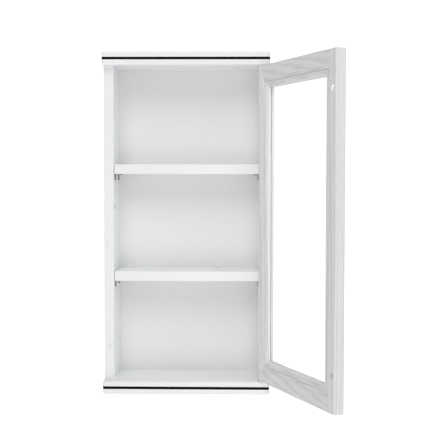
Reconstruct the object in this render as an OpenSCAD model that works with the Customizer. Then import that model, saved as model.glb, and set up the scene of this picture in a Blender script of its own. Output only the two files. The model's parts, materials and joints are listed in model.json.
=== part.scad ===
// Small wall cabinet with a framed glass door, hung over a toilet or a basin.
// Frame: X to the right, Y into the wall, Z up. The origin lies on the wall plane,
// half way between the round entries of the two keyhole hangers.
// The door is drawn standing open by door_open, hinged on two upright pins at its right edge.

/* [Carcass] */
// Width over the two side panels
cabinet_w = 300; // [240:1:420]
// Height of the side panels, which is also the inner height
panel_h = 570; // [440:1:760]
// Thickness of a side panel
panel_t = 18; // [15:0.5:22]
// Depth of a side panel, from its front edge to the wall
carcass_d = 104; // [84:1:150]
// Rounding of the front edges of panels and shelves
edge_r = 1; // [0.5:0.25:2]

/* [Top and bottom boards] */
// Thickness of the top and the bottom board
board_t = 24; // [20:0.5:32]
// How far a board stands out past each side panel
board_side = 1; // [0.5:0.5:10]
// Radius of a board's front corners, seen from above
corner_r = 5; // [2:0.5:8]
// Rounding along a board's front and end edges
arris_r = 3; // [1:0.25:5]
// Height of the black inlay strip
inlay_h = 4.7; // [3:0.1:8]
// Depth of the inlay strip's groove
inlay_d = 2; // [1:0.25:3]

/* [Shelves] */
// Thickness of a shelf
shelf_t = 18; // [15:0.5:22]
// Height of the lower shelf's underside above the bottom board
lower_shelf_up = 180; // [120:1:230]
// Height of the upper shelf's underside above the bottom board
upper_shelf_up = 375; // [300:1:400]
// How far a shelf's front edge stands back from the panels' front edges
shelf_setback = 3; // [0:0.5:12]
// Gap at each end of a shelf
shelf_end_gap = 0.75; // [0.25:0.25:2]
// Distance of the front shelf supports from the panels' front edges
support_front = 20; // [12:1:30]
// Distance of the rear shelf supports from the panels' front edges
support_rear = 70; // [46:1:72]
// Diameter of a shelf support's shank
shank_dia = 5; // [3:0.5:6]
// Length of the shank in the panel
shank_len = 9; // [6:0.5:11]
// Width of a shelf support's plates, along the shelf end
support_w = 12; // [8:0.5:16]
// Length of the plate under the shelf
support_reach = 9; // [6:0.5:14]
// Thickness of a shelf support's plates
support_t = 1.5; // [1:0.25:2]
// Height of the plate that lies against the panel
support_h = 11; // [9:0.5:16]

/* [Back] */
// Thickness of the back panel
back_t = 3; // [2.5:0.5:4]
// Depth to which the back panel sits in its grooves
back_groove = 5; // [3:0.5:7]
// Thickness of the two rails behind the back panel
rail_t = 12; // [11:0.5:16]
// Height of the hanging rail
hanging_rail_h = 60; // [54:1:90]
// Height of the lower back rail
lower_rail_h = 40; // [30:1:70]
// Diameter of a rail dowel
rail_dowel_dia = 6; // [5:0.5:7]
// Length of a rail dowel in the side panel
rail_dowel_in = 10; // [7:0.5:12]
// Length of a rail dowel in the rail
rail_dowel_out = 14; // [8:0.5:18]

/* [Hangers] */
// Distance between the two hangers
hanger_spacing = 200; // [140:1:200]
// How far the hangers' entries lie below the top of the side panels
hanger_drop = 34; // [30:1:34]
// Diameter of a hanger's round entry
entry_dia = 10; // [8:0.5:11]
// Width of the hanger's slot
slot_w = 4.6; // [4:0.1:5.2]
// Rise from the round entry to the end of the slot
slot_rise = 9; // [7:0.5:10]
// Width of a hanger plate
hanger_w = 46; // [42:1:52]
// Height of a hanger plate
hanger_h = 40; // [34:1:44]
// Thickness of a hanger plate
hanger_t = 2; // [1.5:0.25:2.5]
// Radius of a hanger plate's corners
hanger_corner = 4; // [2:0.5:8]
// Distance between the two screws of a hanger
hanger_screws_apart = 32; // [30:1:34]
// Diameter of the pocket behind a hanger
pocket_dia = 20; // [16:0.5:22]
// Depth of the pocket behind a hanger plate
pocket_d = 7; // [5:0.5:7.5]
// Diameter of a hanger screw
hanger_screw_dia = 3; // [2.5:0.25:3.5]
// Diameter of a hanger screw's head
hanger_head_dia = 6; // [5:0.5:7]
// Length of a hanger screw
hanger_screw_len = 9; // [7:0.5:10]

/* [Joints of the carcass] */
// Diameter of a carcass screw's shank
screw_dia = 5; // [4:0.5:6]
// Diameter of a carcass screw's head
screw_head_dia = 10; // [9:0.5:12]
// Length of a carcass screw
screw_len = 50; // [42:1:60]
// How far the screw heads are sunk below the board's face
screw_sink = 0.8; // [0.4:0.1:1.5]
// Distance of the rear carcass screws from the wall
screw_rear = 20; // [18:0.5:24]
// Distance of the front carcass screws from the panels' front edges
screw_front = 20; // [18:0.5:24]
// Diameter of a carcass dowel
dowel_dia = 8; // [6:0.5:8]
// Length of a carcass dowel on each side of its joint
dowel_half = 14; // [10:0.5:16]
// Width across the corners of a screw head's hexagon recess
hex_dia = 4; // [3:0.25:4]
// Diameter of a screw's cover cap
cap_dia = 13; // [12.5:0.5:14]
// Thickness of a cover cap
cap_t = 1.6; // [1:0.1:2.5]
// Rounding of a cover cap's rim
cap_rim_r = 0.8; // [0.3:0.1:0.8]
// Diameter of the stub under a cover cap
cap_stub_dia = 3.4; // [2:0.1:3.4]

/* [Door] */
// How far the door stands open
door_open = 113; // [60:1:170]
// Thickness of the door
door_t = 18; // [16:0.5:22]
// Gap above and below the door
door_gap_z = 1.5; // [1.2:0.1:3]
// Gap between the closed door and the panels' front edges
door_gap = 2; // [1.5:0.1:4]
// How far the door's long edges stand in from the panels' outer faces
door_side = 1; // [0:0.25:3]
// Width of a stile
stile_w = 40; // [38:0.5:50]
// Height of a door rail
rail_h = 40; // [38:0.5:60]
// Width of the slope of the moulding on the frame's inner face
slope_w = 4; // [2:0.5:4]
// Depth of the slope's lower edge
slope_d = 1.6; // [0.6:0.1:1.9]
// Width of the ledge between the slope and the glazing bead
ledge_w = 5.5; // [3:0.5:5.5]
// Depth of the ledge
ledge_d = 2.4; // [2:0.1:3]
// Width of the glass rebate
rebate_w = 10.5; // [9:0.5:10.5]
// Thickness of the lip in front of the glass
lip_t = 5; // [4:0.25:6]
// Bevel round the opening on the door's outer face
bevel = 1.5; // [1:0.25:3.5]
// Rounding of the free edge's outer corner
free_outer_r = 3; // [1:0.25:4]
// Rounding of the free edge's inner corner
free_inner_r = 1.5; // [0.5:0.25:2]
// Radius of the finger groove in the free edge
finger_r = 4; // [3:0.25:5]
// Depth of the finger groove
finger_d = 1; // [0.5:0.1:1.5]
// Distance of the finger groove from the door's inner face
finger_pos = 6.5; // [6:0.25:8]
// Diameter of a door dowel
door_dowel_dia = 8; // [6:0.5:8]
// Length of a door dowel on each side of its joint
door_dowel_half = 15; // [12:0.5:15]
// Height of a door dowel from the door's end
door_dowel_pos = 20; // [19:0.5:20.5]

/* [Glass and beads] */
// Thickness of the glass pane
glass_t = 4; // [3:0.5:5]
// Gap between the glass edge and the rebate
glass_gap = 1.5; // [1:0.25:2.5]
// Depth of a glazing bead's flat below the door's inner face
bead_d = 1.8; // [1:0.1:2]
// Depth of the step from a bead's flat to its quarter round
bead_step = 1.2; // [0.5:0.1:1.5]
// Radius of a glazing bead's quarter round
bead_r = 5.5; // [4:0.25:5.5]
// Width of the quirk between frame and bead
quirk_w = 1; // [0.8:0.1:1.5]
// Depth of the quirk below the bead's flat
quirk_d = 2; // [1:0.1:3]
// Diameter of a bead brad
brad_dia = 1.4; // [1:0.1:1.6]
// Length of a bead brad
brad_len = 15; // [12:0.5:16]
// Distance of the brads from the ends of the door
brad_end = 90; // [70:1:110]

/* [Pivots and catch] */
// Diameter of a pivot pin
pin_dia = 6; // [5:0.5:7]
// Length of a pivot pin in the door
pin_in = 14; // [10:0.5:14]
// Length of a pivot pin in the board
pin_out = 10; // [8:0.5:12]
// Outer diameter of a pivot bush
bush_dia = 10; // [9:0.5:11]
// Diameter of a bush's flange
bush_flange_dia = 15; // [13:0.5:16]
// Thickness of a bush's flange
bush_flange_t = 1; // [0.6:0.1:1]
// Thickness of a bush's closed end
bush_end_t = 2; // [1:0.25:3]
// Height of the magnetic catch above the door's lower edge
catch_z = 60; // [52:1:110]
// Diameter of the catch's sleeve
catch_dia = 8; // [7:0.5:10]
// Length of the catch's sleeve
catch_len = 14; // [10:0.5:18]
// Thickness of the sleeve's closed front
catch_face = 0.5; // [0.4:0.1:0.8]
// Diameter of the magnet
magnet_dia = 5; // [3:0.5:5.5]
// Diameter of the strike plate and of the door bumper
strike_dia = 9; // [8:0.5:11]
// Thickness of the strike plate
strike_t = 1.2; // [1:0.1:1.4]
// Length of the strike plate's screw
strike_screw_len = 11; // [8:0.5:13]
// Diameter of the strike plate's screw
strike_screw_dia = 2.5; // [2:0.25:3]

/* [Clearances] */
// Gap round a dowel, screw, pin or sleeve in its bore
fit = 0.05; // [0.02:0.01:0.2]
// Gap on each side of the back panel in its grooves
slip = 0.1; // [0.05:0.05:0.3]
// Gap round a pivot pin in its bush
play = 0.06; // [0.02:0.01:0.09]
// Gap at the end of a pivot pin in its bush
end_play = 0.2; // [0.1:0.1:0.5]
// Gap that the catch and the bumper leave when the door is shut
touch = 0.3; // [0.2:0.1:0.5]

/* [Hidden] */
$fn = 64;

// How far a cutting shape runs past the face that it opens
cut = 1;

// Heights: the hangers' entries are at 0
ceiling_z = hanger_drop;
floor_z = ceiling_z - panel_h;
lower_shelf_z = floor_z + lower_shelf_up;
upper_shelf_z = floor_z + upper_shelf_up;

// Carcass
inner_w = cabinet_w - 2 * panel_t;
panel_mid = cabinet_w / 2 - panel_t / 2;
board_w = cabinet_w + 2 * board_side;
board_d = carcass_d + door_gap + door_t;
back_y = rail_t + slip;
inner_back_y = back_y + back_t;
groove_w = back_t + 2 * slip;
back_w = inner_w + 2 * back_groove;
shelf_w = inner_w - 2 * shelf_end_gap;
shelf_d = carcass_d - shelf_setback - inner_back_y - 4 * slip;
shank_drop = support_t + shank_dia / 2 + 1;
screw_ys = [screw_rear, carcass_d - screw_front];
rail_dowel_zs = [0.25, 0.75];

// Screws with countersunk heads: the cone's height
screw_cone = (screw_head_dia - screw_dia) / 2;
hanger_cone = (hanger_head_dia - hanger_screw_dia) / 2;
hanger_screw_z = slot_rise / 2;

// Door, in its own frame: u from the hinge edge, w out from the inner face, v up
door_w = cabinet_w - 2 * door_side;
door_h = panel_h - 2 * door_gap_z;
pin_inset = door_t / 2;
pivot_x = cabinet_w / 2 - door_side - pin_inset;
pivot_y = -(carcass_d + door_gap + door_t / 2);
door_z = floor_z + door_gap_z;
moulding_w = slope_w + ledge_w + rebate_w;
flat_u = stile_w - moulding_w;
flat_v = rail_h - moulding_w;
rebate_u = stile_w - rebate_w;
rebate_v = rail_h - rebate_w;
rebate_d = door_t - lip_t;
glass_w = rebate_d - glass_t;
bead_flat_w = rebate_w - bead_r;
brad_w = (ledge_d + glass_w) / 2 + 1;
brad_us = [brad_end, door_w - brad_end];
brad_vs = [brad_end, door_h / 2, door_h - brad_end];
catch_u = door_w - (panel_t / 2 - door_side);
magnet_len = catch_len - 3;
bumper_t = door_gap - touch;
pin_len = pin_in + door_gap_z + pin_out;
bush_len = pin_out + end_play + bush_end_t;

// ---- Shapes used by several sub-parts ----

// A box from its least corner to its greatest
module box(low, high) {
    translate(low) cube(high - low);
}

// A round bar along X, Y or Z from a point
module bar_x(at, dia, len) {
    translate(at) rotate([0, 90, 0]) cylinder(d = dia, h = len);
}
module bar_y(at, dia, len) {
    translate(at) rotate([-90, 0, 0]) cylinder(d = dia, h = len);
}
module bar_z(at, dia, len) {
    translate(at) cylinder(d = dia, h = len);
}

// A rectangle whose two lower corners are rounded
module rounded_low(w, d, r) {
    translate([r, 0]) square([w - 2 * r, d]);
    translate([0, r]) square([w, d - r]);
    for (x = [r, w - r]) translate([x, r]) circle(r);
}

// A rectangle whose four corners are rounded, centred
module rounded_plate(w, h, r) {
    square([w - 2 * r, h], center = true);
    square([w, h - 2 * r], center = true);
    for (x = [r - w / 2, w / 2 - r]) {
        for (y = [r - h / 2, h / 2 - r]) translate([x, y]) circle(r);
    }
}

// A countersunk screw along +Z with its head's face at 0, and the bore for it
module countersunk(dia, head, cone, len, grow = 0) {
    cylinder(d = dia + 2 * grow, h = len + grow);
    cylinder(d1 = head + 2 * grow, d2 = dia + 2 * grow, h = cone);
}

// ---- Top and bottom boards ----

// A board's outline from above, inset all round but at the wall
module board_plan(inset) {
    translate([inset - board_w / 2, inset - board_d])
        rounded_low(board_w - 2 * inset, board_d - inset, corner_r - inset);
}

// A board lying from z = 0 up, with rounded front and end edges and the inlay's groove
module board_blank() {
    difference() {
        intersection() {
            linear_extrude(board_t) board_plan(0);
            rotate([0, 90, 0]) rotate([0, 0, 90]) translate([0, 0, -board_w / 2])
                linear_extrude(board_w) board_section(board_d);
            rotate([90, 0, 0]) linear_extrude(board_d) translate([0, board_t / 2])
                rounded_plate(board_w, board_t, arris_r);
        }
        translate([0, 0, (board_t - inlay_h) / 2]) linear_extrude(inlay_h) difference() {
            translate([-board_w, -2 * board_d]) square([2 * board_w, 2 * board_d + cut]);
            board_plan(inlay_d);
        }
    }
}

// A board's section across its depth, rounded at the front edges only
module board_section(depth) {
    translate([-depth, 0]) {
        translate([0, arris_r]) square([depth, board_t - 2 * arris_r]);
        translate([arris_r, 0]) square([depth - arris_r, board_t]);
        for (z = [arris_r, board_t - arris_r]) translate([arris_r, z]) circle(arris_r);
    }
}

// What is cut into a board, drawn for the top board with its inner face at z = 0
module board_cuts() {
    for (side = [-1, 1]) {
        for (y = screw_ys) {
            translate([side * panel_mid, -y, board_t - screw_sink]) mirror([0, 0, 1])
                countersunk(screw_dia, screw_head_dia, screw_cone, screw_len, fit);
            bar_z([side * panel_mid, -y, board_t - screw_sink], screw_head_dia + 2 * fit, screw_sink + cut);
        }
        bar_z([side * panel_mid, -carcass_d / 2, -cut], dowel_dia + 2 * fit, dowel_half + fit + cut);
    }
    box([-back_w / 2 - slip, slip - back_y - groove_w, -cut],
        [back_w / 2 + slip, slip - back_y, back_groove + slip]);
    bar_z([pivot_x, pivot_y, -cut], bush_dia + 2 * fit, bush_len + fit + cut);
}

// The inlay strip of a board lying from z = 0 up
module inlay() {
    translate([0, 0, (board_t - inlay_h) / 2]) linear_extrude(inlay_h) difference() {
        board_plan(0);
        board_plan(inlay_d);
    }
}

// Puts a shape drawn for the top board at the top, or turned over at the bottom
module at_top() {
    translate([0, 0, ceiling_z]) children();
}
module at_bottom() {
    translate([0, 0, floor_z]) mirror([0, 0, 1]) children();
}

module top_board() {
    color("whitesmoke") at_top() difference() {
        board_blank();
        board_cuts();
    }
}

module bottom_board() {
    color("whitesmoke") at_bottom() difference() {
        board_blank();
        board_cuts();
    }
}

module top_inlay_strip() {
    color("black") at_top() inlay();
}

module bottom_inlay_strip() {
    color("black") at_bottom() inlay();
}

// ---- Side panels ----

// The left panel, from its inner face at x = -inner_w / 2 outwards
module side_panel_blank() {
    difference() {
        translate([-cabinet_w / 2, -carcass_d, floor_z]) linear_extrude(panel_h)
            rounded_low(panel_t, carcass_d, edge_r);
        box([-inner_w / 2 - back_groove - slip, slip - back_y - groove_w, floor_z - cut],
            [cut - inner_w / 2, slip - back_y, ceiling_z + cut]);
        for (z = [lower_shelf_z, upper_shelf_z]) {
            for (y = [support_front, support_rear])
                bar_x([-inner_w / 2 - shank_len - fit, y - carcass_d, z - shank_drop],
                    shank_dia + 2 * fit, shank_len + fit + cut);
        }
        for (y = screw_ys) {
            bar_z([-panel_mid, -y, ceiling_z + board_t - screw_sink - screw_len - fit],
                screw_dia + 2 * fit, screw_len);
            bar_z([-panel_mid, -y, floor_z - board_t + screw_sink + fit],
                screw_dia + 2 * fit, screw_len);
        }
        for (z = [ceiling_z - fit, floor_z + fit])
            bar_z([-panel_mid, -carcass_d / 2, z - dowel_half], dowel_dia + 2 * fit, 2 * dowel_half);
        for (z = rail_dowel_heights())
            bar_x([-inner_w / 2 - rail_dowel_in - fit, -rail_t / 2, z],
                rail_dowel_dia + 2 * fit, rail_dowel_in + fit + cut);
    }
}

// Heights of the dowels of both rails
function rail_dowel_heights() = concat(
    [for (k = rail_dowel_zs) ceiling_z - hanging_rail_h * k],
    [for (k = rail_dowel_zs) floor_z + lower_rail_h * k]
);

module left_side_panel() {
    color("white") difference() {
        side_panel_blank();
        bar_y([-panel_mid, -carcass_d - cut, door_z + catch_z], catch_dia + 2 * fit, catch_len + fit + cut);
    }
}

module right_side_panel() {
    color("white") mirror([1, 0, 0]) side_panel_blank();
}

// ---- Back ----

module back_panel() {
    color("white") box([-back_w / 2, -inner_back_y, floor_z - back_groove],
        [back_w / 2, -back_y, ceiling_z + back_groove]);
}

// A rail behind the back panel, with the bores of its four dowels
module back_rail(low, high, dowel_zs) {
    difference() {
        box([-inner_w / 2, -rail_t, low], [inner_w / 2, 0, high]);
        for (z = dowel_zs) {
            for (side = [0, 1])
                mirror([side, 0, 0]) bar_x([-inner_w / 2 - cut, -rail_t / 2, z],
                    rail_dowel_dia + 2 * fit, rail_dowel_out + fit + cut);
        }
    }
}

module hanging_rail() {
    zs = [for (k = rail_dowel_zs) ceiling_z - hanging_rail_h * k];
    color("burlywood") difference() {
        back_rail(ceiling_z - hanging_rail_h, ceiling_z, zs);
        for (x = [-1, 1]) translate([x * hanger_spacing / 2, 0, 0]) {
            translate([0, cut, hanger_screw_z]) rotate([90, 0, 0]) linear_extrude(hanger_t + fit + cut)
                rounded_plate(hanger_w + 2 * fit, hanger_h + 2 * fit, hanger_corner);
            for (z = [0, slot_rise])
                bar_y([0, -hanger_t - pocket_d, z], pocket_dia, pocket_d);
            box([-pocket_dia / 2, -hanger_t - pocket_d, 0], [pocket_dia / 2, -hanger_t, slot_rise]);
            for (side = [-1, 1])
                bar_y([side * hanger_screws_apart / 2, -hanger_screw_len - fit, hanger_screw_z],
                    hanger_screw_dia + 2 * fit, hanger_screw_len);
        }
    }
}

module lower_back_rail() {
    zs = [for (k = rail_dowel_zs) floor_z + lower_rail_h * k];
    color("burlywood") back_rail(floor_z, floor_z + lower_rail_h, zs);
}

module rail_dowels() {
    color("tan") for (z = rail_dowel_heights()) {
        for (side = [0, 1])
            mirror([side, 0, 0]) bar_x([-inner_w / 2 - rail_dowel_in, -rail_t / 2, z],
                rail_dowel_dia, rail_dowel_in + rail_dowel_out);
    }
}

// ---- Hangers ----

// A steel plate with a keyhole: a round entry with a narrow slot above it
module hanger_plates() {
    color("silver") for (x = [-1, 1]) translate([x * hanger_spacing / 2, 0, 0]) difference() {
        translate([0, 0, hanger_screw_z]) rotate([90, 0, 0]) linear_extrude(hanger_t)
            rounded_plate(hanger_w, hanger_h, hanger_corner);
        bar_y([0, -hanger_t - cut, 0], entry_dia, hanger_t + 2 * cut);
        bar_y([0, -hanger_t - cut, slot_rise], slot_w, hanger_t + 2 * cut);
        box([-slot_w / 2, -hanger_t - cut, 0], [slot_w / 2, cut, slot_rise]);
        for (side = [-1, 1])
            translate([side * hanger_screws_apart / 2, 0, hanger_screw_z]) rotate([90, 0, 0])
                countersunk(hanger_screw_dia, hanger_head_dia, hanger_cone, hanger_screw_len, fit);
    }
}

module hanger_screws() {
    color("gray") for (x = [-1, 1]) {
        for (side = [-1, 1])
            translate([x * hanger_spacing / 2 + side * hanger_screws_apart / 2, 0, hanger_screw_z])
                rotate([90, 0, 0])
                    countersunk(hanger_screw_dia, hanger_head_dia, hanger_cone, hanger_screw_len);
    }
}

// ---- Shelves and their supports ----

// A shelf with its underside at z, rounded along its front edges
module shelf(z) {
    translate([-shelf_w / 2, shelf_setback - carcass_d, z]) rotate([0, 90, 0]) rotate([0, 0, 90])
        linear_extrude(shelf_w) {
            translate([edge_r, 0]) square([shelf_d - edge_r, shelf_t]);
            translate([0, edge_r]) square([shelf_d, shelf_t - 2 * edge_r]);
            for (h = [edge_r, shelf_t - edge_r]) translate([edge_r, h]) circle(edge_r);
        }
}

module upper_shelf() {
    color("white") shelf(upper_shelf_z);
}

module lower_shelf() {
    color("white") shelf(lower_shelf_z);
}

// The four angled supports under the shelf at z: a shank, a wall plate and a shelf plate
module shelf_supports(z) {
    for (y = [support_front, support_rear]) {
        for (side = [0, 1]) mirror([side, 0, 0]) translate([-inner_w / 2, y - carcass_d, z]) {
            bar_x([-shank_len, 0, -shank_drop], shank_dia, shank_len + support_t);
            box([0, -support_w / 2, -support_h], [support_t, support_w / 2, 0]);
            box([0, -support_w / 2, -support_t], [support_reach, support_w / 2, 0]);
        }
    }
}

module upper_shelf_supports() {
    color("dimgray") shelf_supports(upper_shelf_z);
}

module lower_shelf_supports() {
    color("dimgray") shelf_supports(lower_shelf_z);
}

// ---- Fasteners of the carcass ----

// Runs its children at every carcass screw, at both boards, with z = 0 at the screw's head
module at_screws() {
    for (side = [-1, 1]) {
        for (y = screw_ys) {
            translate([side * panel_mid, -y, ceiling_z + board_t - screw_sink])
                mirror([0, 0, 1]) children();
            translate([side * panel_mid, -y, floor_z - board_t + screw_sink]) children();
        }
    }
}

module carcass_screws() {
    color("gray") at_screws() difference() {
        countersunk(screw_dia, screw_head_dia, screw_cone, screw_len);
        translate([0, 0, -cut]) cylinder(d = hex_dia, h = screw_cone + cut, $fn = 6);
    }
}

module carcass_dowels() {
    color("tan") for (side = [-1, 1]) {
        for (z = [ceiling_z, floor_z])
            bar_z([side * panel_mid, -carcass_d / 2, z - dowel_half], dowel_dia, 2 * dowel_half);
    }
}

// A cap with a rounded rim over each screw head, and a stub that presses into the head's recess
module screw_cover_caps() {
    color("white") at_screws() translate([0, 0, -screw_sink]) {
        mirror([0, 0, 1]) rotate_extrude() {
            square([cap_dia / 2, cap_t - cap_rim_r]);
            square([cap_dia / 2 - cap_rim_r, cap_t]);
            translate([cap_dia / 2 - cap_rim_r, cap_t - cap_rim_r]) circle(cap_rim_r);
        }
        cylinder(d = cap_stub_dia, h = screw_sink + screw_cone / 2);
    }
}

// ---- Pivots ----

// A closed nylon bush with a flange, drawn for the top board with the board's inner face at z = 0
module pivot_bush() {
    translate([pivot_x, pivot_y, 0]) difference() {
        union() {
            cylinder(d = bush_dia, h = bush_len);
            translate([0, 0, -bush_flange_t]) cylinder(d = bush_flange_dia, h = bush_flange_t);
        }
        translate([0, 0, -bush_flange_t - cut])
            cylinder(d = pin_dia + 2 * play, h = bush_flange_t + cut + pin_out + end_play);
    }
}

module upper_pivot_bush() {
    color("ivory") at_top() pivot_bush();
}

module lower_pivot_bush() {
    color("ivory") at_bottom() pivot_bush();
}

module upper_pivot_pin() {
    color("silver") bar_z([pivot_x, pivot_y, ceiling_z + pin_out - pin_len], pin_dia, pin_len);
}

module lower_pivot_pin() {
    color("silver") bar_z([pivot_x, pivot_y, floor_z - pin_out], pin_dia, pin_len);
}

// ---- Door ----

// Puts a shape drawn in the door's own frame in place, turned open about the pins
module on_door() {
    translate([pivot_x, pivot_y, door_z]) rotate([0, 0, 180 + door_open])
        translate([-pin_inset, -door_t / 2, 0]) children();
}

// A block in the middle of the door, inset from its long edges and from its ends
module door_block(in_u, in_v, from_w, to_w) {
    box([in_u, from_w, in_v], [door_w - in_u, to_w, door_h - in_v]);
}

// The slope, ledge, rebate, opening and outer bevel, cut alike in all four members
module frame_cuts() {
    hull() {
        door_block(flat_u, flat_v, -fit, 0);
        door_block(flat_u + slope_w, flat_v + slope_w, slope_d - fit, slope_d);
    }
    door_block(flat_u + slope_w, flat_v + slope_w, -cut, ledge_d);
    door_block(rebate_u, rebate_v, -cut, rebate_d);
    door_block(stile_w, rail_h, -cut, door_t + cut);
    hull() {
        door_block(stile_w, rail_h, door_t - bevel, door_t - bevel + fit);
        door_block(stile_w - bevel, rail_h - bevel, door_t, door_t + fit);
    }
}

// The bores of the dowels that join rails and stiles
module door_dowel_bores() {
    for (v = [door_dowel_pos, door_h - door_dowel_pos]) {
        for (u = [flat_u, door_w - flat_u])
            bar_x([u - door_dowel_half - fit, door_t / 2, v], door_dowel_dia + 2 * fit,
                2 * (door_dowel_half + fit));
    }
}

// A brad through each bead into the frame, or the bore for it
module brads(grow = 0) {
    from = stile_w - 1 - brad_len;
    for (v = brad_vs) {
        for (u = [from, door_w - stile_w + 1])
            bar_x([u - grow, brad_w, v], brad_dia + 2 * grow, brad_len + 2 * grow);
    }
    for (u = brad_us) {
        for (v = [rail_h - 1 - brad_len, door_h - rail_h + 1])
            bar_z([u, brad_w, v - grow], brad_dia + 2 * grow, brad_len + 2 * grow);
    }
}

// The stretch of a stile's moulding between the rails
module stile_moulding(low_u) {
    box([low_u, 0, rail_h], [low_u + moulding_w, door_t, door_h - rail_h]);
}

module hinge_stile() {
    color("white") on_door() difference() {
        union() {
            linear_extrude(door_h) {
                translate([pin_inset, 0]) square([flat_u - pin_inset, door_t]);
                intersection() {
                    translate([pin_inset, door_t / 2]) circle(door_t / 2);
                    square([pin_inset, door_t]);
                }
            }
            stile_moulding(flat_u);
        }
        frame_cuts();
        door_dowel_bores();
        brads(fit);
        bar_z([pin_inset, door_t / 2, -cut], pin_dia + 2 * fit, pin_in + fit + cut);
        bar_z([pin_inset, door_t / 2, door_h - pin_in - fit], pin_dia + 2 * fit, pin_in + fit + cut);
    }
}

module free_stile() {
    color("white") on_door() difference() {
        union() {
            translate([door_w - flat_u, 0, 0]) linear_extrude(door_h) {
                square([flat_u - free_outer_r, door_t]);
                translate([0, free_inner_r]) square([flat_u, door_t - free_inner_r - free_outer_r]);
                square([flat_u - free_inner_r, door_t / 2]);
                translate([flat_u - free_inner_r, free_inner_r]) circle(free_inner_r);
                translate([flat_u - free_outer_r, door_t - free_outer_r]) circle(free_outer_r);
            }
            stile_moulding(door_w - stile_w);
        }
        frame_cuts();
        door_dowel_bores();
        brads(fit);
        bar_z([door_w + finger_r - finger_d, finger_pos, -cut], 2 * finger_r, door_h + 2 * cut);
        bar_y([catch_u, -cut, catch_z], strike_screw_dia + 2 * fit, strike_screw_len + cut);
    }
}

// A rail of the door, from v up
module door_rail(v) {
    on_door() difference() {
        box([flat_u, 0, v], [door_w - flat_u, door_t, v + rail_h]);
        frame_cuts();
        door_dowel_bores();
        brads(fit);
    }
}

module door_top_rail() {
    color("white") door_rail(door_h - rail_h);
}

module door_bottom_rail() {
    color("white") door_rail(0);
}

module door_dowels() {
    color("tan") on_door() for (v = [door_dowel_pos, door_h - door_dowel_pos]) {
        for (u = [flat_u, door_w - flat_u])
            bar_x([u - door_dowel_half, door_t / 2, v], door_dowel_dia, 2 * door_dowel_half);
    }
}

// ---- Glass and glazing beads ----

module glass_pane() {
    color("lightcyan", 0.4) on_door()
        door_block(rebate_u + glass_gap, rebate_v + glass_gap, glass_w, glass_w + glass_t);
}

// A bead's section: x from the rebate's wall, y out from the door's inner face
module bead_section() {
    round_d = bead_d + bead_step + bead_r;
    translate([0, bead_d + quirk_d]) square([bead_flat_w, glass_w - bead_d - quirk_d]);
    translate([quirk_w, bead_d]) square([bead_flat_w - quirk_w, glass_w - bead_d]);
    translate([bead_flat_w, round_d]) square([bead_r, glass_w - round_d]);
    intersection() {
        translate([bead_flat_w, round_d]) circle(bead_r);
        translate([bead_flat_w, round_d - bead_r]) square(bead_r);
    }
}

// Runs a bead along the bottom of a rebate opening w wide, mitred at both ends
module bead(w) {
    intersection() {
        rotate([90, 0, 90]) linear_extrude(w) mirror([1, 0]) rotate([0, 0, 90]) bead_section();
        translate([0, glass_w + cut, 0]) rotate([90, 0, 0]) linear_extrude(glass_w + 2 * cut)
            polygon([[0, 0], [w, 0], [w - rebate_w, rebate_w], [rebate_w, rebate_w]]);
    }
}

opening_w = door_w - 2 * rebate_u;
opening_h = door_h - 2 * rebate_v;

module bottom_glazing_bead() {
    color("white") on_door() difference() {
        translate([rebate_u, 0, rebate_v]) bead(opening_w);
        brads(fit);
    }
}

module top_glazing_bead() {
    color("white") on_door() difference() {
        translate([rebate_u, 0, door_h - rebate_v]) mirror([0, 0, 1]) bead(opening_w);
        brads(fit);
    }
}

module hinge_side_glazing_bead() {
    color("white") on_door() difference() {
        translate([rebate_u, 0, door_h - rebate_v]) rotate([0, 90, 0]) bead(opening_h);
        brads(fit);
    }
}

module free_side_glazing_bead() {
    color("white") on_door() difference() {
        translate([door_w - rebate_u, 0, rebate_v]) rotate([0, -90, 0]) bead(opening_h);
        brads(fit);
    }
}

module bead_brads() {
    color("silver") on_door() brads();
}

// ---- Catch and bumper ----

// Puts a shape drawn along +Y at the catch, which stands out just enough to all but meet the strike plate
module at_catch() {
    translate([-panel_mid, door_t / 2 + strike_t + touch + pivot_y, door_z + catch_z]) children();
}

// A plastic sleeve pushed into the left panel's front edge, with a thin closed front
module catch_sleeve() {
    color("white") at_catch() difference() {
        bar_y([0, 0, 0], catch_dia, catch_len);
        bar_y([0, catch_face, 0], magnet_dia + 2 * fit, catch_len);
    }
}

module catch_magnet() {
    color("dimgray") at_catch() bar_y([0, catch_face, 0], magnet_dia, magnet_len);
}

module strike_plate() {
    color("silver") on_door() translate([catch_u, 0, catch_z]) difference() {
        bar_y([0, -strike_t, 0], strike_dia, strike_t);
        translate([0, -strike_t, 0]) rotate([-90, 0, 0])
            countersunk(strike_screw_dia, 2 * strike_screw_dia, strike_t - fit, strike_screw_len, fit);
    }
}

module strike_screw() {
    color("gray") on_door() translate([catch_u, -strike_t, catch_z]) rotate([-90, 0, 0])
        countersunk(strike_screw_dia, 2 * strike_screw_dia, strike_t - fit, strike_screw_len);
}

module door_bumper() {
    color("gainsboro") on_door() bar_y([catch_u, -bumper_t, door_h - catch_z], strike_dia, bumper_t);
}

top_board();
top_inlay_strip();
bottom_board();
bottom_inlay_strip();
left_side_panel();
right_side_panel();
back_panel();
upper_shelf();
lower_shelf();
upper_shelf_supports();
lower_shelf_supports();
hanging_rail();
lower_back_rail();
rail_dowels();
hanger_plates();
hanger_screws();
carcass_screws();
carcass_dowels();
screw_cover_caps();
upper_pivot_bush();
lower_pivot_bush();
upper_pivot_pin();
lower_pivot_pin();
hinge_stile();
free_stile();
door_top_rail();
door_bottom_rail();
door_dowels();
glass_pane();
top_glazing_bead();
bottom_glazing_bead();
hinge_side_glazing_bead();
free_side_glazing_bead();
bead_brads();
catch_sleeve();
catch_magnet();
strike_plate();
strike_screw();
door_bumper();
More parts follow.
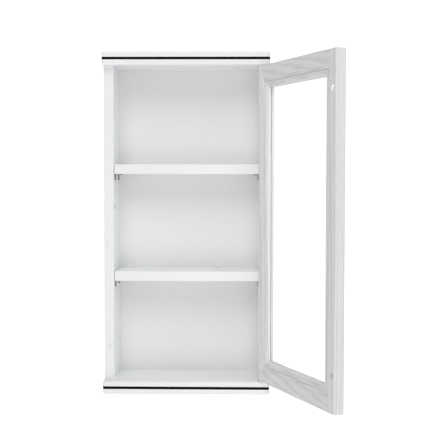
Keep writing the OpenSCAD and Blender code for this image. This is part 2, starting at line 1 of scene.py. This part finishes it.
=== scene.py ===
import json
import math

import bmesh
import bpy
from mathutils import Matrix, Vector


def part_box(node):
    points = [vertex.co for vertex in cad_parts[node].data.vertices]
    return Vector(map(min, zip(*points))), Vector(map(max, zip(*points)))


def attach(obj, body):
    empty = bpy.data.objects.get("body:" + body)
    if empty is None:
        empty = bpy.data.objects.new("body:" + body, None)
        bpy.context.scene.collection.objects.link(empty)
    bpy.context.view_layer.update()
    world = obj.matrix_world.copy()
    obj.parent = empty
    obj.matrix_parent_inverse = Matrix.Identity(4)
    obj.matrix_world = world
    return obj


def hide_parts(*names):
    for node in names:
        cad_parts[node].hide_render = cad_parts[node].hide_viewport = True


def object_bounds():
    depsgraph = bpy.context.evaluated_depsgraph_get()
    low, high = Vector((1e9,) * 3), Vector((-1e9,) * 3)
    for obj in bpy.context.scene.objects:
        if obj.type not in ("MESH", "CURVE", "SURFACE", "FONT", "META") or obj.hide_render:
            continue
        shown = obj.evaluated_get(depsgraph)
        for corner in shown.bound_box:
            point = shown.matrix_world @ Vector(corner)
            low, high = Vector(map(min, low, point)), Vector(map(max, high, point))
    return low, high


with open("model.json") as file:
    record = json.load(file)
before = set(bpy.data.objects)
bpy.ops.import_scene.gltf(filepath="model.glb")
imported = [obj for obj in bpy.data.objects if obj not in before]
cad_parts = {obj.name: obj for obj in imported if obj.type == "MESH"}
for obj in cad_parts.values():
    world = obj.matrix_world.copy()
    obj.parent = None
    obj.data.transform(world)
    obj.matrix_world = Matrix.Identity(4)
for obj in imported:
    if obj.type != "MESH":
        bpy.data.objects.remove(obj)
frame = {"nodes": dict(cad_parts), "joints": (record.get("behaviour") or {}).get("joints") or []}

cad_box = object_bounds()
nodes = frame["nodes"]


# ---- Studio ----
# The cabinet hangs well above a pale seamless floor in an evenly lit white studio, with a large
# softbox high in front, a small one low in front and weak ones above and at both sides.
def srgb(code):
    """The linear colour of an sRGB hex code such as "F4F4F2"."""
    shares = [int(code[i:i + 2], 16) / 255 for i in (0, 2, 4)]
    linear = [s / 12.92 if s <= 0.04045 else ((s + 0.055) / 1.055) ** 2.4 for s in shares]
    return (*linear, 1.0)


def add(tree, kind, inputs=(), **settings):
    """Adds a shader node. inputs pairs a socket with its value or with the socket that feeds it."""
    made = tree.nodes.new(kind)
    for name, value in settings.items():
        setattr(made, name, value)
    for socket, value in inputs:
        if isinstance(value, bpy.types.NodeSocket):
            tree.links.new(value, made.inputs[socket])
        else:
            made.inputs[socket].default_value = value
    return made


# The colour sockets of a Mix node, whose names it also gives to its other sockets
COLOR_A, COLOR_B, MIXED = 6, 7, 2


def new_material(name):
    """An empty node material and its tree, ready for its surface."""
    made = bpy.data.materials.new(name)
    made.use_nodes = True
    made.node_tree.nodes.clear()
    return made, made.node_tree


def surface(tree, shader):
    """Ends a material with this shader."""
    add(tree, "ShaderNodeOutputMaterial", [("Surface", shader.outputs[0])])


def finish_with(material, *pieces):
    """Gives each piece this one material."""
    for piece in pieces:
        piece.data.materials.clear()
        piece.data.materials.append(material)


def where_seen(tree):
    """One where a surface is seen, straight or through the glass, and nought where it only lights."""
    ray = add(tree, "ShaderNodeLightPath")
    seen = add(tree, "ShaderNodeMath", [
        (0, ray.outputs["Is Camera Ray"]), (1, ray.outputs["Is Transmission Ray"])], operation="MAXIMUM")
    return seen.outputs[0]


# Matt seamless paper, which dries a little uneven, and glows evenly white under the studio's lamps
FLOOR_SIZE, FLOOR_BELOW, CLOUD = 40, 0.75, 1.3
bpy.ops.object.select_all(action="DESELECT")
bpy.ops.mesh.primitive_plane_add(size=FLOOR_SIZE, location=(0, 0, cad_box[0].z - FLOOR_BELOW))
floor = bpy.context.active_object
floor.name = "studio_floor"
paper, tree = new_material("matt_white_seamless_paper")
place = add(tree, "ShaderNodeTexCoord").outputs["Object"]
grain = add(tree, "ShaderNodeTexNoise", [("Vector", place), ("Scale", 1 / CLOUD), ("Detail", 3.0)])
tone = add(tree, "ShaderNodeMix", [
    ("Factor", grain.outputs["Fac"]), (COLOR_A, srgb("F6F6F6")), (COLOR_B, srgb("FBFBFB"))], data_type="RGBA")
glow = add(tree, "ShaderNodeMapRange", [("Value", where_seen(tree)), ("To Min", 0.4), ("To Max", 1.0)])
shader = add(tree, "ShaderNodeBsdfPrincipled", [
    ("Base Color", tone.outputs[MIXED]), ("Roughness", 0.9), ("Emission Color", srgb("FFFFFF")),
    ("Emission Strength", glow.outputs["Result"])])
surface(tree, shader)
finish_with(paper, floor)

LIGHTING, BACKDROP = 0.24, 1.25
studio = bpy.data.worlds.new("white_studio")
bpy.context.scene.world = studio
studio.use_nodes = True
tree = studio.node_tree
tree.nodes.clear()
seen = where_seen(tree)
lighting = add(tree, "ShaderNodeBackground", [("Color", srgb("FFFFFF")), ("Strength", LIGHTING)])
backdrop = add(tree, "ShaderNodeBackground", [("Color", srgb("FFFFFF")), ("Strength", BACKDROP)])
both = add(tree, "ShaderNodeMixShader", [(0, seen), (1, lighting.outputs[0]), (2, backdrop.outputs[0])])
add(tree, "ShaderNodeOutputWorld", [("Surface", both.outputs[0])])

middle = (cad_box[0] + cad_box[1]) / 2
for name, away, size, watts in (
        ("overhead_softbox", (-0.2, -2.1, 1.9), 1.5, 27), ("low_softbox", (0.3, -2.3, -0.9), 1.2, 8),
        ("top_softbox", (0.3, -0.6, 2.4), 1.2, 5), ("left_softbox", (-2.4, -1.2, 0.4), 1.5, 5),
        ("right_softbox", (2.4, -1.4, 0.6), 1.5, 9)):
    # A square softbox that faces the middle of the cabinet
    lamp = bpy.data.lights.new(name, "AREA")
    lamp.shape = "SQUARE"
    lamp.size = size
    lamp.energy = watts
    softbox = bpy.data.objects.new(name, lamp)
    bpy.context.scene.collection.objects.link(softbox)
    softbox.location = middle + Vector(away)
    softbox.rotation_mode = "QUATERNION"
    softbox.rotation_quaternion = (-Vector(away)).to_track_quat("-Z", "Y")

# The camera stands about 2 m in front, a little right of the cabinet's middle, and looks slightly down
# and left
LENS_MM, SENSOR_MM = 81.44, 36
LOOKS_DOWN, LEANS, TURNS_LEFT = math.radians(2.709), math.radians(-0.082), math.radians(1.129)
camera = bpy.data.objects.new("camera", bpy.data.cameras.new("camera"))
bpy.context.scene.collection.objects.link(camera)
bpy.context.scene.camera = camera
camera.data.sensor_width = SENSOR_MM
camera.data.lens = LENS_MM
camera.location = (0.1036, -1.9378, -0.1635)
camera.rotation_euler = (math.pi / 2 - LOOKS_DOWN, LEANS, TURNS_LEFT)
bpy.context.scene.view_settings.view_transform = "Standard"


# ---- Top and bottom boards, side panels and shelves ----
# MDF, cut and routed, its arrises eased with fine paper, then sprayed with several coats of white
# satin lacquer. The spray dries with a slight orange peel, and lies a shade thicker in some places.
CARCASS_ARRIS = 0.0006
CLOUD_MM, PEEL_MM = 30.0, 5.0  # the real peel is about 1.5 mm, which is too fine to show
lacquer, tree = new_material("white_satin_lacquer_on_mdf")
place = add(tree, "ShaderNodeTexCoord").outputs["Object"]
cloud = add(tree, "ShaderNodeTexNoise", [("Vector", place), ("Scale", 1000 / CLOUD_MM), ("Detail", 2.0)])
tone = add(tree, "ShaderNodeMix", [
    ("Factor", cloud.outputs["Fac"]), (COLOR_A, srgb("F5F6F7")), (COLOR_B, srgb("F8F8F9"))], data_type="RGBA")
gloss = add(tree, "ShaderNodeMapRange", [("Value", cloud.outputs["Fac"]), ("To Min", 0.26), ("To Max", 0.31)])
peel = add(tree, "ShaderNodeTexNoise", [("Vector", place), ("Scale", 1000 / PEEL_MM), ("Detail", 1.0)])
relief = add(tree, "ShaderNodeBump", [
    ("Height", peel.outputs["Fac"]), ("Strength", 0.25), ("Distance", 0.00003)])
shader = add(tree, "ShaderNodeBsdfPrincipled", [
    ("Base Color", tone.outputs[MIXED]), ("Roughness", gloss.outputs["Result"]), ("IOR", 1.5),
    ("Normal", relief.outputs["Normal"])])
surface(tree, shader)


def select_only(piece):
    """Selects and activates one object."""
    bpy.ops.object.select_all(action="DESELECT")
    piece.select_set(True)
    bpy.context.view_layer.objects.active = piece


def apply_modifier(piece, kind, **settings):
    """Puts a modifier on a piece with these settings and applies it."""
    made = piece.modifiers.new(kind.lower(), kind)
    for name, value in settings.items():
        setattr(made, name, value)
    select_only(piece)
    bpy.ops.object.modifier_apply(modifier=made.name)


def round_corners(piece, width, segments, sharp):
    """Rounds the edges at which a piece turns by more than so many degrees, to a width in metres."""
    apply_modifier(piece, "BEVEL", width=width, segments=segments, limit_method="ANGLE",
                   angle_limit=math.radians(sharp))


def sanded(node, width):
    """A copy of a CAD node that is smooth, with its arrises eased by a width in metres."""
    same_point, flat, sharp = 1e-6, math.radians(0.5), 30
    piece = bpy.data.objects.new(node + "_eased", nodes[node].data.copy())
    bpy.context.scene.collection.objects.link(piece)
    select_only(piece)
    bpy.ops.object.mode_set(mode="EDIT")
    bpy.ops.mesh.select_all(action="SELECT")
    bpy.ops.mesh.customdata_custom_splitnormals_clear()
    bpy.ops.mesh.remove_doubles(threshold=same_point)
    bpy.ops.mesh.dissolve_limited(angle_limit=flat)
    bpy.ops.object.mode_set(mode="OBJECT")
    round_corners(piece, width, 3, sharp)
    select_only(piece)
    bpy.ops.object.shade_smooth_by_angle(angle=math.radians(sharp))
    apply_modifier(piece, "WEIGHTED_NORMAL", keep_sharp=True)
    return piece


def stands_for(piece, node, body):
    """A finished piece rides on a body in place of its CAD node, which is hidden."""
    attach(piece, body)
    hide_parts(node)


for node, slot in (("top_board", "lacquered_board"), ("bottom_board", "lacquered_board"),
                   ("left_side_panel", "lacquered_panel"), ("right_side_panel", "lacquered_panel"),
                   ("upper_shelf", "lacquered_shelf"), ("lower_shelf", "lacquered_shelf")):
    board = sanded(node, CARCASS_ARRIS)
    finish_with(lacquer, board)
    stands_for(board, node, "cabinet")

# ---- Inlay strips ----
# Black PVC edging, pressed and glued into a groove round the boards' fronts and ends, then sanded
# flush, which dulls it and leaves fine scratches along it.
inlay, tree = new_material("black_pvc_edging")
place = add(tree, "ShaderNodeTexCoord").outputs["Object"]
along = add(tree, "ShaderNodeMapping", [("Vector", place), ("Scale", (40, 40, 1500))])
scratches = add(tree, "ShaderNodeTexNoise", [("Vector", along.outputs[0]), ("Scale", 1.0), ("Detail", 4.0)])
tone = add(tree, "ShaderNodeMix", [
    ("Factor", scratches.outputs["Fac"]), (COLOR_A, srgb("020202")), (COLOR_B, srgb("0A0A0A"))],
    data_type="RGBA")
gloss = add(tree, "ShaderNodeMapRange", [
    ("Value", scratches.outputs["Fac"]), ("To Min", 0.4), ("To Max", 0.6)])
shader = add(tree, "ShaderNodeBsdfPrincipled", [
    ("Base Color", tone.outputs[MIXED]), ("Roughness", gloss.outputs["Result"]), ("IOR", 1.53),
    ("Specular IOR Level", 0.08)])
surface(tree, shader)
finish_with(inlay, nodes["top_inlay_strip"], nodes["bottom_inlay_strip"])

# ---- Back panel and its rails ----
# Hardboard, painted white on its smooth face, with the brown face of the wet press and the print of its
# wire mesh to the wall. The two rails behind it are planed pine, with beech dowels in their ends.
WAVE_MM = 314  # the spacing of a wave texture's bands at scale 1, in millimetres
MESH_MM, FIBRE_MM = 18.8, 8.0  # the real mesh is about 1 mm and too fine to show, so it is drawn this coarse
hardboard, tree = new_material("hardboard_painted_on_one_face")
coordinates = add(tree, "ShaderNodeTexCoord")
place = coordinates.outputs["Object"]
facing = add(tree, "ShaderNodeSeparateXYZ", [(0, coordinates.outputs["Normal"])])
rear = add(tree, "ShaderNodeMath", [(0, facing.outputs["Y"]), (1, 0.5)], operation="GREATER_THAN")
fibres = add(tree, "ShaderNodeTexNoise", [("Vector", place), ("Scale", 1000 / FIBRE_MM), ("Detail", 6.0)])
brown = add(tree, "ShaderNodeMix", [
    ("Factor", fibres.outputs["Fac"]), (COLOR_A, srgb("6B4A2E")), (COLOR_B, srgb("9A7550"))],
    data_type="RGBA")
white = add(tree, "ShaderNodeMix", [
    ("Factor", fibres.outputs["Fac"]), (COLOR_A, srgb("F2F3F4")), (COLOR_B, srgb("F7F7F8"))],
    data_type="RGBA")
tone = add(tree, "ShaderNodeMix", [
    ("Factor", rear.outputs[0]), (COLOR_A, white.outputs[MIXED]), (COLOR_B, brown.outputs[MIXED])],
    data_type="RGBA")
warp, weft = [add(tree, "ShaderNodeTexWave", [("Vector", place), ("Scale", WAVE_MM / MESH_MM)],
                  bands_direction=across) for across in "XZ"]
mesh_print = add(tree, "ShaderNodeMath", [(0, warp.outputs["Fac"]), (1, weft.outputs["Fac"])],
                 operation="MULTIPLY")
depth = add(tree, "ShaderNodeMath", [(0, mesh_print.outputs[0]), (1, rear.outputs[0])], operation="MULTIPLY")
relief = add(tree, "ShaderNodeBump", [("Height", depth.outputs[0]), ("Strength", 0.5), ("Distance", 0.0003)])
gloss = add(tree, "ShaderNodeMapRange", [("Value", rear.outputs[0]), ("To Min", 0.45), ("To Max", 0.8)])
shader = add(tree, "ShaderNodeBsdfPrincipled", [
    ("Base Color", tone.outputs[MIXED]), ("Roughness", gloss.outputs["Result"]),
    ("Normal", relief.outputs["Normal"])])
surface(tree, shader)
finish_with(hardboard, nodes["back_panel"])


def sawn_wood(name, pale, dark, ring_mm, stretch, roughness):
    """Bare planed wood: wavering growth rings, drawn out along the grain, with darker specks of pore."""
    made, tree = new_material(name)
    place = add(tree, "ShaderNodeTexCoord").outputs["Object"]
    along = add(tree, "ShaderNodeMapping", [("Vector", place), ("Scale", stretch)])
    rings = add(tree, "ShaderNodeTexWave", [
        ("Vector", along.outputs[0]), ("Scale", WAVE_MM / ring_mm), ("Distortion", 9.0), ("Detail", 3.0),
        ("Detail Scale", 0.6)], bands_direction="Z", wave_profile="SAW")
    pores = add(tree, "ShaderNodeTexNoise", [("Vector", along.outputs[0]), ("Scale", 900.0), ("Detail", 2.0)])
    tone = add(tree, "ShaderNodeMix", [
        ("Factor", rings.outputs["Fac"]), (COLOR_A, srgb(pale)), (COLOR_B, srgb(dark))], data_type="RGBA")
    speckled = add(tree, "ShaderNodeMix", [
        ("Factor", 0.25), (COLOR_A, tone.outputs[MIXED]), (COLOR_B, pores.outputs["Color"])],
        data_type="RGBA", blend_type="MULTIPLY")
    relief = add(tree, "ShaderNodeBump", [
        ("Height", rings.outputs["Fac"]), ("Strength", 0.3), ("Distance", 0.0001)])
    shader = add(tree, "ShaderNodeBsdfPrincipled", [
        ("Base Color", speckled.outputs[MIXED]), ("Roughness", roughness),
        ("Normal", relief.outputs["Normal"])])
    surface(tree, shader)
    return made


# Flat-sawn boards and turned dowels, on whose faces the rings lie far apart
RAIL_ARRIS = 0.0004
pine = sawn_wood("planed_pine", "DDB883", "BE905A", 31.4, (0.08, 1.0, 1.0), 0.65)
for node in ("hanging_rail", "lower_back_rail"):
    rail = sanded(node, RAIL_ARRIS)
    finish_with(pine, rail)
    stands_for(rail, node, "cabinet")
beech = sawn_wood("turned_beech", "D9B48C", "C39A6E", 9.42, (1.0, 1.0, 1.0), 0.6)
finish_with(beech, nodes["rail_dowels"], nodes["carcass_dowels"], nodes["door_dowels"])


# ---- Steel, nylon and plastic fittings ----
# Hanger plates, screws, brads and the strike plate are zinc plated. The pivot pins and shelf supports are
# nickel plated,
# and darker: that dark tone is partly painted shade, standing in for the shadow round the supports under the
# shelves.
# The bushes are nylon, the caps and catch sleeve ABS, and the magnet ferrite.
def plated(name, pale, dark, roughness):
    """Plated steel with the faint cloudy bloom that plating has, shinier in some places than others."""
    bloom_mm = 7.0
    made, tree = new_material(name)
    place = add(tree, "ShaderNodeTexCoord").outputs["Object"]
    bloom = add(tree, "ShaderNodeTexNoise", [("Vector", place), ("Scale", 1000 / bloom_mm), ("Detail", 4.0)])
    tone = add(tree, "ShaderNodeMix", [
        ("Factor", bloom.outputs["Fac"]), (COLOR_A, srgb(pale)), (COLOR_B, srgb(dark))], data_type="RGBA")
    gloss = add(tree, "ShaderNodeMapRange", [
        ("Value", bloom.outputs["Fac"]), ("To Min", roughness - 0.06), ("To Max", roughness + 0.1)])
    shader = add(tree, "ShaderNodeBsdfPrincipled", [
        ("Base Color", tone.outputs[MIXED]), ("Metallic", 1.0), ("Roughness", gloss.outputs["Result"])])
    surface(tree, shader)
    return made


zinc = plated("zinc_plated_steel", "E2E5E7", "C6CACE", 0.34)
# The nickel is painted darker than real nickel: its dark tone is partly painted shade round the shelf
# supports
nickel = plated("nickel_plated_steel", "8F8F90", "6C6C6E", 0.28)


def moulded(name, pale, dark, roughness, glow=0.0):
    """A moulded or pressed part: an even colour with the fine matt grain of its mould."""
    grain_mm, scatter = 1.2, 0.001
    made, tree = new_material(name)
    place = add(tree, "ShaderNodeTexCoord").outputs["Object"]
    skin = add(tree, "ShaderNodeTexNoise", [("Vector", place), ("Scale", 1000 / grain_mm), ("Detail", 2.0)])
    tone = add(tree, "ShaderNodeMix", [
        ("Factor", skin.outputs["Fac"]), (COLOR_A, srgb(pale)), (COLOR_B, srgb(dark))], data_type="RGBA")
    relief = add(tree, "ShaderNodeBump", [
        ("Height", skin.outputs["Fac"]), ("Strength", 0.2), ("Distance", 0.00003)])
    shader = add(tree, "ShaderNodeBsdfPrincipled", [
        ("Base Color", tone.outputs[MIXED]), ("Roughness", roughness), ("Subsurface Weight", glow),
        ("Subsurface Radius", (scatter, scatter, scatter)), ("Normal", relief.outputs["Normal"])])
    surface(tree, shader)
    return made


nylon = moulded("natural_nylon", "ECE9DC", "E2DECF", 0.5, 0.3)
white_abs = moulded("white_abs", "F1F1F2", "EAEAEB", 0.4)
ferrite = moulded("sintered_ferrite", "2A2A2C", "1C1C1E", 0.6)
finish_with(nylon, nodes["upper_pivot_bush"], nodes["lower_pivot_bush"])
finish_with(white_abs, nodes["screw_cover_caps"], nodes["catch_sleeve"])
finish_with(ferrite, nodes["catch_magnet"])
finish_with(zinc, nodes["carcass_screws"], nodes["bead_brads"], nodes["hanger_plates"], nodes["strike_plate"],
            nodes["strike_screw"])
finish_with(nickel, nodes["upper_pivot_pin"], nodes["lower_pivot_pin"])

# ---- Shelf supports ----
# Eight pressed L-shaped plates, each with a turned shank that pushes into a hole in a side panel. The
# plate's corners are rounded by the press, and the shelf lies loose on the level leg.
PLATE_T, PLATE_W, PLATE_H, REACH, PLATE_ARRIS = 0.0015, 0.012, 0.011, 0.009, 0.0004
SHANK_R, SHANK_LONG, SHANK_DROP, SHANK_ARRIS = 0.0025, 0.009, 0.005, 0.0005
SQUARE = 40  # only square corners turn by more than these degrees


def pick(piece, test):
    """Opens a piece in edit mode with only those faces selected whose centre and normal pass a test."""
    select_only(piece)
    bpy.ops.object.mode_set(mode="EDIT")
    bpy.ops.mesh.select_mode(type="FACE")
    bpy.ops.mesh.select_all(action="DESELECT")
    shape = bmesh.from_edit_mesh(piece.data)
    for face in shape.faces:
        face.select_set(test(face.calc_center_median(), face.normal))
    bmesh.update_edit_mesh(piece.data)


def combine(piece, tool, operation):
    """Joins a tool to a piece, or cuts it out, and removes the tool."""
    apply_modifier(piece, "BOOLEAN", object=tool, operation=operation, solver="EXACT")
    bpy.data.objects.remove(tool)


bpy.ops.object.select_all(action="DESELECT")
bpy.ops.mesh.primitive_cube_add(size=1, location=(PLATE_T / 2, 0, -PLATE_H / 2),
                                scale=(PLATE_T, PLATE_W, PLATE_H))
support = bpy.context.active_object
bpy.ops.object.transform_apply(location=True, rotation=True, scale=True)
bpy.ops.object.mode_set(mode="EDIT")
bpy.ops.mesh.bisect(plane_co=(0, 0, -PLATE_T), plane_no=(0, 0, 1))
bpy.ops.object.mode_set(mode="OBJECT")
pick(support, lambda centre, normal: normal.x > 0.9 and centre.z > -PLATE_T)
bpy.ops.mesh.extrude_region_move(TRANSFORM_OT_translate={"value": (REACH - PLATE_T, 0, 0)})
bpy.ops.object.mode_set(mode="OBJECT")
round_corners(support, PLATE_ARRIS, 3, SQUARE)
bpy.ops.object.select_all(action="DESELECT")
bpy.ops.mesh.primitive_cylinder_add(vertices=32, radius=SHANK_R, depth=SHANK_LONG + PLATE_T / 2,
                                    location=((PLATE_T / 2 - SHANK_LONG) / 2, 0, -SHANK_DROP),
                                    rotation=(0, math.pi / 2, 0))
shank = bpy.context.active_object
bpy.ops.object.transform_apply(location=True, rotation=True, scale=True)
round_corners(shank, SHANK_ARRIS, 2, SQUARE)
combine(support, shank, "UNION")


def copies(model, name, places):
    """One piece made of a copy of a model at each place and turn about the vertical."""
    made = []
    for place, turn in places:
        copy = bpy.data.objects.new(name, model.data.copy())
        bpy.context.scene.collection.objects.link(copy)
        copy.data.transform(Matrix.Translation(place) @ Matrix.Rotation(turn, 4, "Z"))
        made.append(copy)
    select_only(made[0])
    for copy in made:
        copy.select_set(True)
    bpy.ops.object.join()
    bpy.ops.object.shade_smooth_by_angle(angle=math.radians(35))
    return made[0]


for node in ("upper_shelf_supports", "lower_shelf_supports"):
    low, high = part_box(node)
    wall = high.x - SHANK_LONG
    rows = (low.y + PLATE_W / 2, high.y - PLATE_W / 2)
    supports = copies(support, node + "_pressed", [
        (Vector((side * -wall, y, high.z)), 0 if side > 0 else math.pi) for y in rows for side in (1, -1)])
    finish_with(nickel, supports)
    stands_for(supports, node, "cabinet")
bpy.data.objects.remove(support)

# ---- Hanger screws ----
# Four countersunk steel screws with cross recesses, driven through the hanger plates into the rail.
HEAD_R, CONE, SCREW_R, SCREW_LONG, POINT, TIP_R = 0.003, 0.0015, 0.0015, 0.009, 0.003, 0.0002
RECESS_R, RECESS_WIDE, RECESS_DEEP, RECESS_TAPER = 0.0017, 0.0007, 0.0011, 0.6
SCREWS_APART = 0.032
bpy.ops.object.select_all(action="DESELECT")
bpy.ops.mesh.primitive_circle_add(vertices=32, radius=HEAD_R, fill_type="NGON", rotation=(-math.pi / 2, 0, 0))
screw = bpy.context.active_object
bpy.ops.object.transform_apply(location=True, rotation=True, scale=True)
bpy.ops.object.mode_set(mode="EDIT")
bpy.ops.mesh.select_all(action="SELECT")
radius = HEAD_R
for deep, next_radius in ((CONE, SCREW_R), (SCREW_LONG - CONE - POINT, SCREW_R), (POINT, TIP_R)):
    bpy.ops.mesh.extrude_region_move(TRANSFORM_OT_translate={"value": (0, -deep, 0)})
    bpy.ops.transform.resize(value=(next_radius / radius,) * 3)
    radius = next_radius
bpy.ops.mesh.select_all(action="SELECT")
bpy.ops.mesh.normals_make_consistent(inside=False)
bpy.ops.object.mode_set(mode="OBJECT")
for wide, tall in ((RECESS_R * 2, RECESS_WIDE), (RECESS_WIDE, RECESS_R * 2)):
    bpy.ops.object.select_all(action="DESELECT")
    bpy.ops.mesh.primitive_cube_add(size=1, location=(0, 0, 0), scale=(wide, RECESS_DEEP * 2, tall))
    blade = bpy.context.active_object
    bpy.ops.object.transform_apply(location=True, rotation=True, scale=True)
    pick(blade, lambda centre, normal: normal.y < -0.9)
    bpy.ops.transform.resize(value=(RECESS_TAPER, 1, RECESS_TAPER))
    bpy.ops.object.mode_set(mode="OBJECT")
    combine(screw, blade, "DIFFERENCE")
low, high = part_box("hanger_screws")
middles = [low.x + HEAD_R, low.x + HEAD_R + SCREWS_APART, high.x - HEAD_R - SCREWS_APART, high.x - HEAD_R]
screws = copies(screw, "hanger_screws_driven", [
    (Vector((x, high.y, (low.z + high.z) / 2)), 0) for x in middles])
finish_with(zinc, screws)
stands_for(screws, "hanger_screws", "cabinet")
bpy.data.objects.remove(screw)

# ---- Door frame ----
# Two stiles and two rails of ash, jointed with dowels, moulded on the inside edges of the inner face,
# and painted by brush in white satin, through which the open grain still shows.
hinge = frame["joints"][0]
PIVOT = Vector(hinge["pos_m"])
OPEN = -hinge["range_deg"][0]  # the door shuts at the lower limit, so it stands open by this at rest
MEMBER = 0.020  # from a member's outer edge to its middle line
BEHIND = 0.034  # the rings' middle lies this far behind the middle of the wood
HINGE_EDGE, DOOR_WIDE, DOOR_ARRIS = -0.009, 0.298, 0.0004
low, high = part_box("free_stile")
HALF_UP, MIDDLE_UP = (high.z - low.z) / 2, (high.z + low.z) / 2 - PIVOT.z
RING_MM, PORE_MM, PORE_LONG = 3.0, 0.9, 14.0  # real pores are about 0.2 mm wide, which is too fine to show
LEAN = math.radians(1.8)  # the rails' grain leans by this, and the stiles' by a fifth of it


def painted_ash(name, heart, rings_direction, lean, waver):
    """White paint over open grain. heart is the middle of the log's rings in the door's own axes."""
    made, tree = new_material(name)
    place = add(tree, "ShaderNodeTexCoord").outputs["Object"]
    # Turned back to the door's own axes: X along its width, Y through it, Z up
    on_door = add(tree, "ShaderNodeMapping", [
        ("Vector", place), ("Location", PIVOT), ("Rotation", (0, 0, math.radians(180 + OPEN)))],
        vector_type="TEXTURE")
    log = add(tree, "ShaderNodeMapping", [
        ("Vector", on_door.outputs[0]), ("Location", heart), ("Rotation", lean)], vector_type="TEXTURE")
    rings = add(tree, "ShaderNodeTexWave", [
        ("Vector", log.outputs[0]), ("Scale", WAVE_MM / RING_MM), ("Distortion", waver), ("Detail", 2.0),
        ("Detail Scale", 0.35)], wave_type="RINGS", rings_direction=rings_direction)
    late_wood = add(tree, "ShaderNodeMath", [(0, rings.outputs["Fac"]), (1, 3.0)], operation="POWER")
    draw = (1 / PORE_LONG, 1.0, 1.0) if rings_direction == "X" else (1.0, 1.0, 1 / PORE_LONG)
    drawn = add(tree, "ShaderNodeMapping", [("Vector", log.outputs[0]), ("Scale", draw)])
    pores = add(tree, "ShaderNodeTexNoise", [
        ("Vector", drawn.outputs[0]), ("Scale", 1000 / PORE_MM), ("Detail", 2.0)])
    pitted = add(tree, "ShaderNodeMapRange", [
        ("Value", pores.outputs["Fac"]), ("From Min", 0.45), ("From Max", 0.75), ("To Min", 0.0),
        ("To Max", 0.5)])
    open_grain = add(tree, "ShaderNodeMath", [(0, late_wood.outputs[0]), (1, pitted.outputs["Result"])],
                     operation="ADD", use_clamp=True)
    tone = add(tree, "ShaderNodeMix", [
        ("Factor", open_grain.outputs[0]), (COLOR_A, srgb("EEEEEE")), (COLOR_B, srgb("DFDFDE"))],
        data_type="RGBA")
    relief = add(tree, "ShaderNodeBump", [
        ("Height", open_grain.outputs[0]), ("Strength", 0.6), ("Distance", 0.00015)], invert=True)
    shader = add(tree, "ShaderNodeBsdfPrincipled", [
        ("Base Color", tone.outputs[MIXED]), ("Roughness", 0.42), ("IOR", 1.5),
        ("Normal", relief.outputs["Normal"])])
    surface(tree, shader)
    return made


# The way that the rings run along a member, and how far they waver
STILE, RAIL = ("Z", 1.2), ("X", 2.0)
ash = {}
for node, (direction, waver), across_door, up_door, lean in (
        ("hinge_stile", STILE, HINGE_EDGE + MEMBER, MIDDLE_UP, (LEAN / 5, 0, 0)),
        ("free_stile", STILE, HINGE_EDGE + DOOR_WIDE - MEMBER, MIDDLE_UP, (-LEAN / 5, 0, 0)),
        ("door_top_rail", RAIL, HINGE_EDGE + DOOR_WIDE / 2, MIDDLE_UP + HALF_UP - MEMBER, (0, 0, LEAN)),
        ("door_bottom_rail", RAIL, HINGE_EDGE + DOOR_WIDE / 2, MIDDLE_UP - HALF_UP + MEMBER, (0, 0, -LEAN))):
    ash[node] = painted_ash("white_paint_on_ash_" + node.removeprefix("door_"),
                            (across_door, BEHIND, up_door), direction, lean, waver)
    member = sanded(node, DOOR_ARRIS)
    finish_with(ash[node], member)
    stands_for(member, node, "door")

# ---- Glazing beads ----
# Four mitred strips of the same ash, pinned round the glass with brads, and painted with the frame.
BEAD_ARRIS = 0.0003
for node, beside in (("top_glazing_bead", "door_top_rail"), ("bottom_glazing_bead", "door_bottom_rail"),
                     ("hinge_side_glazing_bead", "hinge_stile"), ("free_side_glazing_bead", "free_stile")):
    strip = sanded(node, BEAD_ARRIS)
    finish_with(ash[beside], strip)
    stands_for(strip, node, "door")


# ---- Glass ----
# A pane of clear 4 mm float glass, cut to size, with its edges lightly ground. It is all but unseen
# from in front, and shows by its reflections and by the pale matt line of its ground edge.
def see_through(name, colour, roughness, ior, shadow):
    """A clear material that lets the lamps shine through it, and takes a little off their light."""
    made, tree = new_material(name)
    shader = add(tree, "ShaderNodeBsdfPrincipled", [
        ("Base Color", srgb(colour)), ("Roughness", roughness), ("IOR", ior), ("Transmission Weight", 1.0)])
    open_air = add(tree, "ShaderNodeBsdfTransparent", [("Color", srgb(shadow))])
    lamp_ray = add(tree, "ShaderNodeLightPath").outputs["Is Shadow Ray"]
    surface(tree, add(tree, "ShaderNodeMixShader", [
        (0, lamp_ray), (1, shader.outputs[0]), (2, open_air.outputs[0])]))
    return made


GLASS_ARRIS = 0.0005
glass = see_through("clear_float_glass", "FBFDFC", 0.0, 1.52, "F4F8F6")
ground, tree = new_material("ground_glass_edge")
shader = add(tree, "ShaderNodeBsdfPrincipled", [
    ("Base Color", srgb("E9F1EE")), ("Roughness", 0.7), ("IOR", 1.52)])
surface(tree, shader)
pane = sanded("glass_pane", GLASS_ARRIS)
finish_with(glass, pane)
pane.data.materials.append(ground)
through_glass = Matrix.Rotation(math.radians(180 + OPEN), 3, "Z") @ Vector((0, 1, 0))
for face in pane.data.polygons:
    if abs(face.normal.dot(through_glass)) < 0.3:
        face.material_index = 1
stands_for(pane, "glass_pane", "door")

# ---- Door bumper ----
# A small dome of clear polyurethane, soft and glossy, stuck on the inner face of the door.
clear_rubber = see_through("clear_polyurethane", "FAFBFB", 0.12, 1.3, "FFFFFF")
finish_with(clear_rubber, nodes["door_bumper"])
